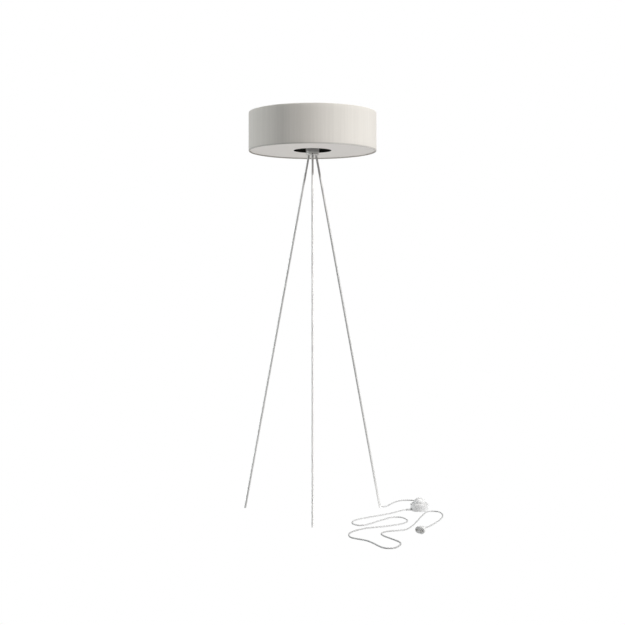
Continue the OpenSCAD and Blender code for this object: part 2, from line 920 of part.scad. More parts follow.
// Upper shell: tapered wall, sloping shoulder and the round button hole
module switch_cover() {
    top_r = cover_hole_r + 4.5;
    color("white")
        at_switch()
            difference() {
                union() {
                    rotate_extrude($fn = 72)
                        polygon([
                            [housing_r(base_split_z) - switch_wall, base_split_z + 0.05],
                            [housing_r(base_split_z), base_split_z + 0.05],
                            [shoulder_r - 0.6, shoulder_z - 0.8], [shoulder_r, shoulder_z],
                            [shoulder_r - 0.8, shoulder_z + 1.4],
                            [top_r, cover_top_z - 0.6], [top_r - 1.4, cover_top_z],
                            [cover_hole_r, cover_top_z],
                            [cover_hole_r, cover_top_z - 3],
                            [top_r - 1, cover_top_z - 3],
                            [shoulder_r - switch_wall - 1.4, shoulder_z - 0.4],
                            [shoulder_r - switch_wall - 0.6, shoulder_z - 2]
                        ]);
                    for (a = switch_screw_azimuths)
                        rotate([0, 0, a])
                            translate([switch_screw_r, 0, base_split_z + 0.4])
                                cylinder(d = 8, h = 9);
                }
                for (a = switch_screw_azimuths)
                    rotate([0, 0, a])
                        translate([switch_screw_r, 0, base_split_z - 1])
                            cylinder(d = 2.92, h = 8);
            }
}

// Push-push mechanism's body, fixed to the base's floor
block_half = 11;

module contact_block() {
    color("dimgray")
        at_switch()
            difference() {
                translate([-block_half, -block_half, pad_t + switch_floor_t])
                    cube([2 * block_half, 2 * block_half, block_top_z - pad_t - switch_floor_t]);
                translate([0, 0, block_top_z - 8])
                    cylinder(d = 8, h = 10);
            }
}

// Brass clamps on top of the contact block, at two opposite corners
terminal_at = block_half - 2.4;
terminal_w = 4;

module switch_terminals() {
    color("goldenrod")
        at_switch()
            for (side = [-1, 1])
                translate([side * terminal_at, side * terminal_at, block_top_z])
                    difference() {
                        translate([-terminal_w / 2, -terminal_w / 2, 0])
                            cube([terminal_w, terminal_w, terminal_w]);
                        translate([0, 0, terminal_w - 2])
                            cylinder(d = 2.4, h = 3);
                    }
}

// Bars that grip the cords behind the strain reliefs
module cord_clamps() {
    color("white")
        at_switch()
            for (az = [relief_in_az, relief_out_az])
                rotate([0, 0, az])
                    translate([switch_cavity_r - 6, -5.5, relief_z + 4.1])
                        cube([4, 11, 2.6]);
}

// The cords' ends inside the housing, from the reliefs up to the contact block's clamps
module switch_leads() {
    lead_gap = 1.5;
    inner_r = relief_root_r - 8.2;
    in_start = [inner_r * cos(relief_in_az), inner_r * sin(relief_in_az), relief_z];
    out_start = [inner_r * cos(relief_out_az), inner_r * sin(relief_out_az), relief_z];
    clamp_z = block_top_z + 2.2;
    in_end = [terminal_at, terminal_at + terminal_w / 2 + 0.2, clamp_z];
    out_end = [-terminal_at - terminal_w / 2 - 0.2, -terminal_at, clamp_z];
    color("white")
        at_switch() {
            swept_tube(
                smooth_route([in_start, [5.2, 19, 7.6], [5.8, 15.8, 10], [7, 14.4, 15], in_end], lead_gap),
                1.4, 8, first = -relief_in_dir, last = [0, -1, 0]);
            swept_tube(
                smooth_route([out_start, [-18.5, -8.6, 7.6], [-15.8, -8.4, 10], [-14.4, -8.5, 15],
                              out_end], lead_gap),
                1.4, 8, first = -relief_out_dir, last = [1, 0, 0]);
        }
}

button_wall = 2.2;

// Domed button with a skirt and a retaining flange below the cover's rim
module switch_button() {
    r = button_d / 2;
    dome_foot_z = cover_top_z + button_skirt_h;
    dome_rise = button_top_z - dome_foot_z;
    dome_r = (r * r + dome_rise * dome_rise) / (2 * dome_rise);
    edge_a = asin((r - 1.2) / dome_r);
    flange_z = cover_top_z - 3.2 - 1.6;
    outer = [
        for (k = [0 : 8])
            [dome_r * sin(edge_a * k / 8), button_top_z - dome_r * (1 - cos(edge_a * k / 8))]
    ];
    inner = [
        for (k = [8 : -1 : 0]) [outer[k][0] * (r - button_wall) / r, outer[k][1] - button_wall]
    ];
    color("white")
        at_switch()
            rotate_extrude($fn = 72)
                polygon(concat(
                    outer,
                    [[r, dome_foot_z - 1], [r, flange_z + 1.6], [r + 2.4, flange_z + 1.6],
                     [r + 2.4, flange_z], [r - button_wall, flange_z]],
                    inner
                ));
}

plunger_foot_z = block_top_z - 8 + button_travel + 0.6;

module button_plunger() {
    color("white")
        at_switch()
            translate([0, 0, plunger_foot_z])
                cylinder(d = 7, h = button_top_z - button_wall - 0.4 - plunger_foot_z);
}

spring_r = 5.4;
spring_wire_r = 0.6;
spring_turns = 6;

module button_spring() {
    low = block_top_z + spring_wire_r + 0.05;
    high = button_top_z - button_wall - 1 - spring_wire_r;
    steps = 12 * spring_turns;
    color("silver")
        at_switch()
            swept_tube(
                [for (k = [0 : steps])
                    [spring_r * cos(360 * k / 12), spring_r * sin(360 * k / 12),
                     low + (high - low) * k / steps]],
                spring_wire_r, 8);
}

// ---- Cords and strain reliefs ----
// Tapered boots, from inside the housing's wall out to the free cord
module switch_relief(az) {
    root = relief_tip_r - relief_len;
    color("white")
        at_switch()
            rotate([0, 0, az])
                translate([0, 0, relief_z])
                    rotate([0, 90, 0])
                        rotate_extrude()
                            polygon([
                                [0, relief_root_r - 8], [4, relief_root_r - 8], [4, root],
                                [5, root], [5, root + 2], [4.2, root + 3],
                                [cord_r + 0.7, relief_tip_r - 1], [cord_r + 0.3, relief_tip_r],
                                [0, relief_tip_r]
                            ]);
}

module relief_in() {
    switch_relief(relief_in_az);
}

module relief_out() {
    switch_relief(relief_out_az);
}

module cord_leg_to_switch() {
    color("white")
        swept_tube(smooth_route(cord_a_points, ring_gap_a), cord_r, 8,
                   first = exit_dir, last = -relief_in_dir);
}

module cord_switch_to_plug() {
    color("white")
        swept_tube(smooth_route(cord_b_points, ring_gap_b), cord_r, 8,
                   first = relief_out_dir, last = plug_dir);
}

// ---- Plug ----
// Children have +Z along the pins, from the plug's face, and +X to the lower pin
module at_plug() {
    translate([plug_face_x, plug_face_y, plug_z])
        rotate([0, 0, plug_az])
            rotate([0, 90, 0])
                rotate([0, 0, 90 - plug_roll])
                    children();
}

// Outline of the plug's section: a bar with round ends
module plug_section(w, h) {
    for (x = [-1, 1])
        translate([x * (w - h) / 2, 0])
            circle(d = h, $fn = 32);
    square([w - h, h], center = true);
}

module plug_body() {
    color("white")
        at_plug()
            hull() {
                translate([0, 0, -1])
                    linear_extrude(1)
                        plug_section(plug_w - 2, plug_h - 2);
                translate([0, 0, -16])
                    linear_extrude(14)
                        plug_section(plug_w, plug_h);
                translate([0, 0, -plug_body_len])
                    linear_extrude(1)
                        plug_section(plug_back_w, plug_back_h);
            }
}

module plug_pins() {
    color("silver")
        at_plug()
            for (x = [-1, 1])
                translate([x * plug_pin_pitch / 2, 0, 0]) {
                    translate([0, 0, 0.02])
                        cylinder(d = plug_pin_d, h = plug_pin_len - 1.2);
                    translate([0, 0, plug_pin_len - 1.2])
                        cylinder(d1 = plug_pin_d, d2 = plug_pin_d - 2, h = 1.2);
                }
}

module plug_relief() {
    color("white")
        at_plug()
            translate([0, 0, -plug_body_len - plug_relief_len])
                rotate_extrude()
                    polygon([
                        [0, 0], [cord_r + 0.3, 0], [cord_r + 0.7, 1], [5.6, plug_relief_len - 2],
                        [6, plug_relief_len - 0.02], [0, plug_relief_len - 0.02]
                    ]);
}

leg_front();
leg_left();
leg_right();
foot_cap_front();
foot_cap_left();
foot_cap_right();
leg_carrier();
leg_grub_screws();
column_sleeve();
sleeve_screws();
column_cap();
shade_rod();
rod_nuts();
finial();
shade_fitter();
bottom_ring();
shade_fabric();
shade_liner();
diffuser();
glare_shield();
holder_rear();
holder_left();
holder_right();
holder_nipples();
holder_contacts();
bulb_rear();
bulb_left();
bulb_right();
bulb_base_rear();
bulb_base_left();
bulb_base_right();
terminal_block();
terminal_screws();
holder_leads();
leg_lead();
cord_grommet();
switch_pad();
switch_base();
switch_screws();
switch_cover();
contact_block();
switch_terminals();
cord_clamps();
switch_leads();
switch_button();
button_plunger();
button_spring();
relief_in();
relief_out();
cord_leg_to_switch();
cord_switch_to_plug();
plug_relief();
plug_body();
plug_pins();
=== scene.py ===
import json
import math

import bpy
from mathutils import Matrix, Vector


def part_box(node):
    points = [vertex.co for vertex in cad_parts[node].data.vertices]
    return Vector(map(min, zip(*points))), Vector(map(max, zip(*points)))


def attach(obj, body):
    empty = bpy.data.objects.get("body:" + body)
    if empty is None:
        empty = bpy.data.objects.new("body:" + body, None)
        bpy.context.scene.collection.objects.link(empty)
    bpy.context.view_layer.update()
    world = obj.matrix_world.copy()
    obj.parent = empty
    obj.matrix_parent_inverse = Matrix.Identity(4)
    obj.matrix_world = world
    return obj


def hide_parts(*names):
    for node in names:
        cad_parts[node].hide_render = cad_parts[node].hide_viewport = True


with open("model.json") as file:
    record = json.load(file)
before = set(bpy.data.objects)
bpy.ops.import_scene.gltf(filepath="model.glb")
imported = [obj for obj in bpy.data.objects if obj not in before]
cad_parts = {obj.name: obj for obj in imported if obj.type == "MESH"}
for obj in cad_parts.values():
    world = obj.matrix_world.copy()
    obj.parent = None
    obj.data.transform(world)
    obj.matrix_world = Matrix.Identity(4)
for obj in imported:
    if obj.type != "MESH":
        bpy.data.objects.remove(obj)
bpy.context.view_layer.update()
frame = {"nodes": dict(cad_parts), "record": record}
nodes = frame["nodes"]
mm = 0.001
print("frame loaded:", len(nodes), "parts")


# The camera stands level at half the lamp's height, five metres in front of it
cameraSetup = {"distance": 5.056, "height": 0.7885, "lens": 74.4, "sensor": 36.0}

bpy.ops.object.select_all(action="DESELECT")
bpy.ops.object.camera_add(
    location=(0, -cameraSetup["distance"], cameraSetup["height"]),
    rotation=(math.radians(90), 0, 0),
)
camera = bpy.context.object
camera.name = "lampCamera"
camera.data.sensor_width = cameraSetup["sensor"]
camera.data.lens = cameraSetup["lens"]
camera.data.dof.use_dof = False
camera.data.clip_end = 200
bpy.context.scene.camera = camera
print("camera placed")


def cleanStart():
    if bpy.context.mode != "OBJECT":
        bpy.ops.object.mode_set(mode="OBJECT")
    bpy.ops.object.select_all(action="DESELECT")


def pickOnly(piece):
    cleanStart()
    piece.select_set(True)
    bpy.context.view_layer.objects.active = piece


def centreOf(node):
    low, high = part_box(node)
    return [(a + b) / 2 for a, b in zip(low, high)]


def arcOf(centre, radius, fromAngle, toAngle, count):
    points = []
    for k in range(count + 1):
        a = math.radians(fromAngle + (toAngle - fromAngle) * k / count)
        points.append((centre[0] + radius * math.cos(a), centre[1] + radius * math.sin(a)))
    return points


# Draws an outline of (radius, height) points in millimetres and spins it round the upright axis
def spinOutline(name, outline, steps=96):
    cleanStart()
    bpy.ops.mesh.primitive_plane_add(size=mm)
    piece = bpy.context.object
    piece.name = name
    bpy.ops.object.mode_set(mode="EDIT")
    bpy.ops.mesh.select_mode(type="VERT")
    bpy.ops.mesh.merge(type="CENTER")
    bpy.ops.transform.translate(value=(outline[0][0] * mm, 0, outline[0][1] * mm))
    for here, there in zip(outline, outline[1:]):
        move = ((there[0] - here[0]) * mm, 0, (there[1] - here[1]) * mm)
        bpy.ops.mesh.extrude_region_move(TRANSFORM_OT_translate={"value": move})
    bpy.ops.mesh.select_all(action="SELECT")
    bpy.ops.mesh.spin(steps=steps, angle=math.tau, center=(0, 0, 0), axis=(0, 0, 1))
    bpy.ops.mesh.select_all(action="SELECT")
    bpy.ops.mesh.remove_doubles(threshold=0.002 * mm)
    bpy.ops.mesh.normals_make_consistent(inside=False)
    bpy.ops.object.mode_set(mode="OBJECT")
    return piece


# Turns a piece about its own Z, then tips it by tip about Y and swings it to an azimuth
def setInPlace(piece, at, ownTurn=0, tip=0, azimuth=0):
    pickOnly(piece)
    piece.rotation_euler = (0, 0, math.radians(ownTurn))
    bpy.ops.object.transform_apply(location=False, rotation=True, scale=False)
    piece.rotation_euler = (0, math.radians(tip), math.radians(azimuth))
    piece.location = at
    bpy.ops.object.transform_apply(location=True, rotation=True, scale=True)


def applyBevel(piece, width, segments=3, angle=28):
    pickOnly(piece)
    bevel = piece.modifiers.new("softEdges", "BEVEL")
    bevel.width = width * mm
    bevel.segments = segments
    bevel.limit_method = "ANGLE"
    bevel.angle_limit = math.radians(angle)
    bpy.ops.object.modifier_apply(modifier=bevel.name)


def smoothShade(piece, angle=32):
    pickOnly(piece)
    bpy.ops.object.shade_smooth_by_angle(angle=math.radians(angle))


# Selects the faces for which test(centre, normal) is true, and goes to edit mode
def selectFaces(piece, test):
    pickOnly(piece)
    bpy.ops.object.mode_set(mode="EDIT")
    bpy.ops.mesh.select_mode(type="FACE")
    bpy.ops.mesh.select_all(action="DESELECT")
    bpy.ops.object.mode_set(mode="OBJECT")
    for face in piece.data.polygons:
        face.select = test(face.center, face.normal)
    bpy.ops.object.mode_set(mode="EDIT")


def backToObject():
    bpy.ops.mesh.select_mode(type="VERT")
    bpy.ops.object.mode_set(mode="OBJECT")


def dress(piece, material):
    piece.data.materials.clear()
    piece.data.materials.append(material)


def addToModel(piece, body, slotName, material, *replaced):
    dress(piece, material)
    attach(piece, body)
    if replaced:
        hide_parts(*replaced)


def groupSocket(group, name, direction, kind, default=None):
    socket = group.interface.new_socket(name=name, in_out=direction, socket_type=kind)
    if default is not None:
        socket.default_value = default
    return socket


# Streaks: noise that is fine across and long along the piece's own upright direction
def buildGrainField():
    group = bpy.data.node_groups.new("grainField", "ShaderNodeTree")
    groupSocket(group, "Vector", "INPUT", "NodeSocketVector")
    groupSocket(group, "Across", "INPUT", "NodeSocketFloat", 400.0)
    groupSocket(group, "Along", "INPUT", "NodeSocketFloat", 400.0)
    groupSocket(group, "Contrast", "INPUT", "NodeSocketFloat", 0.2)
    groupSocket(group, "Mask", "OUTPUT", "NodeSocketFloat")
    groupSocket(group, "Height", "OUTPUT", "NodeSocketFloat")
    make, link = group.nodes.new, group.links.new
    entry, leave = make("NodeGroupInput"), make("NodeGroupOutput")
    scales = make("ShaderNodeCombineXYZ")
    stretch = make("ShaderNodeVectorMath")
    stretch.operation = "MULTIPLY"
    noise = make("ShaderNodeTexNoise")
    noise.inputs["Scale"].default_value = 1.0
    noise.inputs["Detail"].default_value = 3.0
    low = make("ShaderNodeMath")
    low.operation = "SUBTRACT"
    low.inputs[0].default_value = 0.5
    high = make("ShaderNodeMath")
    high.operation = "ADD"
    high.inputs[0].default_value = 0.5
    spread = make("ShaderNodeMapRange")
    link(entry.outputs["Across"], scales.inputs["X"])
    link(entry.outputs["Across"], scales.inputs["Y"])
    link(entry.outputs["Along"], scales.inputs["Z"])
    link(entry.outputs["Vector"], stretch.inputs[0])
    link(scales.outputs[0], stretch.inputs[1])
    link(stretch.outputs[0], noise.inputs["Vector"])
    link(entry.outputs["Contrast"], low.inputs[1])
    link(entry.outputs["Contrast"], high.inputs[1])
    link(noise.outputs["Fac"], spread.inputs["Value"])
    link(low.outputs[0], spread.inputs["From Min"])
    link(high.outputs[0], spread.inputs["From Max"])
    link(spread.outputs["Result"], leave.inputs["Mask"])
    link(noise.outputs["Fac"], leave.inputs["Height"])
    return group


# Dust and handling marks: soft patches that settle on faces that look upwards
def buildDustField():
    group = bpy.data.node_groups.new("dustField", "ShaderNodeTree")
    groupSocket(group, "Vector", "INPUT", "NodeSocketVector")
    groupSocket(group, "Scale", "INPUT", "NodeSocketFloat", 30.0)
    groupSocket(group, "Amount", "INPUT", "NodeSocketFloat", 0.3)
    groupSocket(group, "Mask", "OUTPUT", "NodeSocketFloat")
    make, link = group.nodes.new, group.links.new
    entry, leave = make("NodeGroupInput"), make("NodeGroupOutput")
    surface = make("ShaderNodeNewGeometry")
    parts = make("ShaderNodeSeparateXYZ")
    upward = make("ShaderNodeMapRange")
    upward.inputs["From Min"].default_value = 0.1
    upward.inputs["From Max"].default_value = 1.0
    patches = make("ShaderNodeTexNoise")
    patches.inputs["Detail"].default_value = 6.0
    patches.inputs["Roughness"].default_value = 0.65
    soft = make("ShaderNodeMapRange")
    soft.inputs["From Min"].default_value = 0.38
    soft.inputs["From Max"].default_value = 0.72
    both = make("ShaderNodeMath")
    both.operation = "MULTIPLY"
    share = make("ShaderNodeMath")
    share.operation = "MULTIPLY"
    link(surface.outputs["Normal"], parts.inputs[0])
    link(parts.outputs["Z"], upward.inputs["Value"])
    link(entry.outputs["Vector"], patches.inputs["Vector"])
    link(entry.outputs["Scale"], patches.inputs["Scale"])
    link(patches.outputs["Fac"], soft.inputs["Value"])
    link(soft.outputs["Result"], both.inputs[0])
    link(upward.outputs["Result"], both.inputs[1])
    link(both.outputs[0], share.inputs[0])
    link(entry.outputs["Amount"], share.inputs[1])
    link(share.outputs[0], leave.inputs["Mask"])
    return group


grainField = buildGrainField()
dustField = buildDustField()


def groupNode(tree, group, **values):
    node = tree.nodes.new("ShaderNodeGroup")
    node.node_tree = group
    for name, value in values.items():
        node.inputs[name].default_value = value
    return node


def mixColours(tree, mask, first, second):
    mix = tree.nodes.new("ShaderNodeMix")
    mix.data_type = "RGBA"
    tree.links.new(mask, mix.inputs[0])
    for socket, colour in ((mix.inputs[6], first), (mix.inputs[7], second)):
        if isinstance(colour, tuple):
            socket.default_value = (*colour, 1.0)
        else:
            tree.links.new(colour, socket)
    return mix.outputs[2]


def rangeOf(tree, value, low, high):
    spread = tree.nodes.new("ShaderNodeMapRange")
    spread.inputs["To Min"].default_value = low
    spread.inputs["To Max"].default_value = high
    tree.links.new(value, spread.inputs["Value"])
    return spread.outputs["Result"]


# How fine grain, slow clouding and dust are mixed in every finish
finishMix = {
    "cloudAcross": 14.0, "cloudAlong": 9.0, "cloudContrast": 0.22, "cloudShare": 0.35,
    "dustScale": 38.0, "bump": 0.5,
}


# One finish: grain or moulding texture in colour, roughness and relief, with a little dust
def makeFinish(name, light, dark, rough, across, along=None, relief=0.02, contrast=0.2,
               dust=0.0, dustColour=(0.62, 0.60, 0.56), axis=(0, 0, 0), **shader):
    material = bpy.data.materials.new(name)
    material.use_nodes = True
    tree = material.node_tree
    link = tree.links.new
    principled = tree.nodes["Principled BSDF"]
    place = tree.nodes.new("ShaderNodeTexCoord")
    turn = tree.nodes.new("ShaderNodeMapping")
    turn.inputs["Rotation"].default_value = [math.radians(a) for a in axis]
    link(place.outputs["Object"], turn.inputs["Vector"])
    grain = groupNode(tree, grainField, Across=across, Along=along or across, Contrast=contrast)
    cloud = groupNode(tree, grainField, Across=finishMix["cloudAcross"],
                      Along=finishMix["cloudAlong"], Contrast=finishMix["cloudContrast"])
    link(turn.outputs[0], grain.inputs["Vector"])
    link(turn.outputs[0], cloud.inputs["Vector"])
    blend = tree.nodes.new("ShaderNodeMath")
    blend.operation = "MULTIPLY_ADD"
    blend.inputs[1].default_value = finishMix["cloudShare"]
    grainPart = tree.nodes.new("ShaderNodeMath")
    grainPart.operation = "MULTIPLY"
    grainPart.inputs[1].default_value = 1 - finishMix["cloudShare"]
    link(grain.outputs["Mask"], grainPart.inputs[0])
    link(cloud.outputs["Mask"], blend.inputs[0])
    link(grainPart.outputs[0], blend.inputs[2])
    colour = mixColours(tree, blend.outputs[0], dark, light)
    if dust:
        settled = groupNode(tree, dustField, Scale=finishMix["dustScale"], Amount=dust)
        link(turn.outputs[0], settled.inputs["Vector"])
        colour = mixColours(tree, settled.outputs["Mask"], colour, dustColour)
    link(colour, principled.inputs["Base Color"])
    link(rangeOf(tree, blend.outputs[0], rough[1], rough[0]), principled.inputs["Roughness"])
    bump = tree.nodes.new("ShaderNodeBump")
    bump.inputs["Strength"].default_value = finishMix["bump"]
    bump.inputs["Distance"].default_value = relief * mm
    link(grain.outputs["Height"], bump.inputs["Height"])
    link(bump.outputs["Normal"], principled.inputs["Normal"])
    for socket, value in shader.items():
        principled.inputs[socket.replace("_", " ")].default_value = value
    return material


steelFinish = {
    "light": (0.70, 0.695, 0.685), "dark": (0.60, 0.596, 0.587), "rough": (0.38, 0.5),
    "across": 2600.0, "along": 40.0, "relief": 0.004, "Metallic": 0.35,
}
legShape = {"footCircle": 314.0, "topCircle": 16.5, "hubHeight": 1405.0, "wide": 8.5}
leanTan = (legShape["footCircle"] - legShape["topCircle"]) / legShape["hubHeight"]
legLean = math.degrees(math.atan(leanTan))

finishes = {
    # Painted light: the hub's satin steel is a lighter copy of the legs' steel, brightening the
    # hub where it sits in the shade's shadow
    "hubSteelPaintedLight": makeFinish("hubSteelPaintedLight", **{
        **steelFinish, "light": (0.88, 0.87, 0.85), "dark": (0.76, 0.75, 0.73)}),
    "legSteelFront": makeFinish("legSteelFront", axis=(-legLean, 0, 0), **steelFinish),
    "legSteelLeft": makeFinish("legSteelLeft", axis=(legLean / 2, legLean, 0), **steelFinish),
    "legSteelRight": makeFinish("legSteelRight", axis=(legLean / 2, -legLean, 0), **steelFinish),
    "wirePaint": makeFinish(
        "wirePaint", (0.86, 0.86, 0.84), (0.80, 0.80, 0.78), (0.30, 0.42), 1500.0,
        relief=0.01, dust=0.35),
    "capPlastic": makeFinish(
        "capPlastic", (0.80, 0.80, 0.79), (0.72, 0.72, 0.71), (0.45, 0.6), 1800.0, relief=0.02),
    "blackSteel": makeFinish(
        "blackSteel", (0.035, 0.035, 0.037), (0.015, 0.015, 0.016), (0.35, 0.5), 2500.0,
        relief=0.01, Metallic=1.0),
    "zincPlate": makeFinish(
        "zincPlate", (0.78, 0.79, 0.80), (0.60, 0.61, 0.62), (0.20, 0.34), 1800.0,
        relief=0.006, Metallic=1.0),
    "linerFilm": makeFinish(
        "linerFilm", (0.84, 0.835, 0.815), (0.79, 0.785, 0.765), (0.38, 0.5), 500.0,
        relief=0.01, dust=0.1),
    "opalSheet": makeFinish(
        "opalSheet", (0.93, 0.90, 0.865), (0.905, 0.875, 0.84), (0.3, 0.42), 300.0,
        relief=0.004, dust=0.2),
    # Painted shade: the glare shield is near black with almost no gloss, standing in for the
    # unlit inside of the shade seen through the diffuser's hole
    "shieldPaintedShade": makeFinish(
        "shieldPaintedShade", (0.034, 0.032, 0.030), (0.024, 0.0225, 0.021), (0.75, 0.9), 1500.0,
        relief=0.02, Specular_IOR_Level=0.03),
    "holderPlastic": makeFinish(
        "holderPlastic", (0.82, 0.81, 0.78), (0.76, 0.75, 0.72), (0.36, 0.5), 1600.0,
        relief=0.02, dust=0.3),
    "bareBrass": makeFinish(
        "bareBrass", (0.80, 0.62, 0.30), (0.62, 0.45, 0.18), (0.25, 0.42), 1500.0,
        relief=0.01, Metallic=1.0),
    "opalGlobe": makeFinish(
        "opalGlobe", (0.90, 0.90, 0.88), (0.87, 0.87, 0.85), (0.10, 0.18), 200.0,
        relief=0.002, dust=0.12, Coat_Weight=0.6, Coat_Roughness=0.06),
    "cordVinyl": makeFinish(
        "cordVinyl", (0.44, 0.44, 0.44), (0.415, 0.415, 0.415), (0.32, 0.46), 1200.0,
        relief=0.012, dust=0.15),
    "switchPlastic": makeFinish(
        "switchPlastic", (0.575, 0.575, 0.575), (0.55, 0.55, 0.55), (0.24, 0.36), 3200.0,
        relief=0.012, dust=0.22),
    "buttonPlastic": makeFinish(
        "buttonPlastic", (0.675, 0.675, 0.675), (0.655, 0.655, 0.655), (0.16, 0.26), 3200.0,
        relief=0.006, dust=0.15, Coat_Weight=0.3, Coat_Roughness=0.12),
    "padRubber": makeFinish(
        "padRubber", (0.46, 0.46, 0.455), (0.36, 0.36, 0.355), (0.7, 0.85), 2200.0,
        relief=0.04),
    "darkPlastic": makeFinish(
        "darkPlastic", (0.06, 0.06, 0.06), (0.035, 0.035, 0.035), (0.4, 0.55), 1800.0,
        relief=0.02),
    "plugPlastic": makeFinish(
        "plugPlastic", (0.69, 0.69, 0.685), (0.665, 0.665, 0.66), (0.28, 0.4), 2600.0,
        relief=0.014, dust=0.2),
    "nickelPins": makeFinish(
        "nickelPins", (0.58, 0.565, 0.53), (0.42, 0.41, 0.38), (0.18, 0.32), 1600.0,
        along=90.0, relief=0.006, Metallic=1.0),
}
print("plain finishes made:", len(finishes))


# Shade cloth: upright slubby threads over a finer cross thread, and painted shade on the inner
# hem below the diffuser
clothLook = {
    # hem is the colour of the painted shade on the inner hem below the diffuser
    "light": (0.768, 0.738, 0.692), "dark": (0.695, 0.666, 0.622), "hem": (0.58, 0.56, 0.525),
    "threads": {  # name: scale across, scale along, contrast, share in the colour
        "warp": (1500.0, 12.0, 0.18, 0.3),
        "streak": (210.0, 3.0, 0.16, 0.38),
        "slub": (70.0, 1.2, 0.2, 0.2),
        "weft": (60.0, 1900.0, 0.2, 0.12),
    },
    "hemShadeFade": (1.2, -0.4), "rough": (0.78, 0.92), "relief": 0.12, "bump": 0.6, "weftLift": 0.5,
    "sheen": 0.15, "sheenRough": 0.5, "gloss": 0.25,
}


def makeShadeCloth(name, look):
    material = bpy.data.materials.new(name)
    material.use_nodes = True
    tree = material.node_tree
    link = tree.links.new
    principled = tree.nodes["Principled BSDF"]
    place = tree.nodes.new("ShaderNodeTexCoord")
    fields = {}
    total = None
    for threadName, (across, along, contrast, share) in look["threads"].items():
        field = groupNode(tree, grainField, Across=across, Along=along, Contrast=contrast)
        link(place.outputs["Object"], field.inputs["Vector"])
        fields[threadName] = field
        part = tree.nodes.new("ShaderNodeMath")
        part.operation = "MULTIPLY_ADD"
        part.inputs[1].default_value = share
        part.inputs[2].default_value = 0.0
        link(field.outputs["Mask"], part.inputs[0])
        if total is not None:
            link(total, part.inputs[2])
        total = part.outputs[0]
    colour = mixColours(tree, total, look["dark"], look["light"])
    height = tree.nodes.new("ShaderNodeSeparateXYZ")
    link(place.outputs["Object"], height.inputs[0])
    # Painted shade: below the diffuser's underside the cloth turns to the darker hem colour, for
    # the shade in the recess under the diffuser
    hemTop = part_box("diffuser")[0][2]
    hem = tree.nodes.new("ShaderNodeMapRange")
    hem.interpolation_type = "SMOOTHSTEP"
    hem.inputs["From Min"].default_value = hemTop + look["hemShadeFade"][0] * mm
    hem.inputs["From Max"].default_value = hemTop + look["hemShadeFade"][1] * mm
    link(height.outputs["Z"], hem.inputs["Value"])
    colour = mixColours(tree, hem.outputs["Result"], colour, look["hem"])
    link(colour, principled.inputs["Base Color"])
    smooth, coarse = look["rough"]
    link(rangeOf(tree, total, coarse, smooth), principled.inputs["Roughness"])
    raised = tree.nodes.new("ShaderNodeMath")
    raised.operation = "MULTIPLY_ADD"
    raised.inputs[1].default_value = look["weftLift"]
    link(fields["weft"].outputs["Height"], raised.inputs[0])
    link(fields["warp"].outputs["Height"], raised.inputs[2])
    bump = tree.nodes.new("ShaderNodeBump")
    bump.inputs["Strength"].default_value = look["bump"]
    bump.inputs["Distance"].default_value = look["relief"] * mm
    link(raised.outputs[0], bump.inputs["Height"])
    link(bump.outputs["Normal"], principled.inputs["Normal"])
    principled.inputs["Sheen Weight"].default_value = look["sheen"]
    principled.inputs["Sheen Roughness"].default_value = look["sheenRough"]
    principled.inputs["Specular IOR Level"].default_value = look["gloss"]
    return material


finishes["shadeCloth"] = makeShadeCloth("shadeCloth", clothLook)

slotFinish = {
    "satin_steel": "hubSteelPaintedLight", "white_wire": "wirePaint", "cap_plastic": "capPlastic",
    "dark_steel": "blackSteel", "plated_steel": "zincPlate", "shade_fabric": "shadeCloth",
    "shade_liner": "linerFilm", "opal_disc": "opalSheet", "black_paint": "shieldPaintedShade",
    "holder_plastic": "holderPlastic", "brass": "bareBrass", "opal_globe": "opalGlobe",
    "cord_pvc": "cordVinyl", "switch_plastic": "switchPlastic", "pad_rubber": "padRubber",
    "dark_plastic": "darkPlastic", "plug_plastic": "plugPlastic", "nickel_pins": "nickelPins",
}
ownFinish = {
    "leg_front": "legSteelFront", "leg_left": "legSteelLeft", "leg_right": "legSteelRight",
}
for row in frame["record"]["subparts"]:
    name = row["node"]
    dress(nodes[name], finishes[ownFinish.get(name, slotFinish[row["material_slot"]])])
print("parts dressed")


# Cord sizes in millimetres, and where each cord leaves one piece and reaches the next
cordSizes = {"diameter": 5.4, "step": 3.5, "sides": 6}
legExit = {"azimuth": 30.0, "height": 10.3, "fall": 34.0, "grommet": 5.0}
switchPlace = {"x": 425.0, "y": 80.0, "reliefHeight": 7.5, "reliefTip": 59.5,
               "inAzimuth": 75.0, "outAzimuth": 203.0}
plugPlace = {"x": 382.0, "y": -459.0, "azimuth": 247.0, "roll": 12.0, "face": (36.0, 24.0),
             "back": (20.0, 17.0), "body": 40.0, "relief": 30.0}


def levelWay(azimuth):
    a = math.radians(azimuth)
    return (math.cos(a), math.sin(a), 0.0)


def alongWay(start, way, distance):
    return tuple(s + w * distance for s, w in zip(start, way))


fall = math.radians(legExit["fall"])
exitLevel = levelWay(legExit["azimuth"])
exitWay = (math.cos(fall) * exitLevel[0], math.cos(fall) * exitLevel[1], -math.sin(fall))
exitReach = (legShape["footCircle"] - legExit["height"] * leanTan
             + legShape["wide"] / 2 * math.hypot(1, leanTan))
exitPoint = (exitReach * exitLevel[0], exitReach * exitLevel[1], legExit["height"])
switchCentre = (switchPlace["x"], switchPlace["y"], switchPlace["reliefHeight"])
inWay = levelWay(switchPlace["inAzimuth"])
outWay = levelWay(switchPlace["outAzimuth"])
inTip = alongWay(switchCentre, inWay, switchPlace["reliefTip"])
outTip = alongWay(switchCentre, outWay, switchPlace["reliefTip"])
plugRoll = math.radians(plugPlace["roll"])
faceWide, faceHigh = plugPlace["face"]
plugHeight = faceHigh / 2 + (faceWide - faceHigh) / 2 * math.sin(plugRoll)
plugFace = (plugPlace["x"], plugPlace["y"], plugHeight)
plugWay = levelWay(plugPlace["azimuth"])
plugTail = alongWay(plugFace, plugWay, -plugPlace["body"] - plugPlace["relief"])

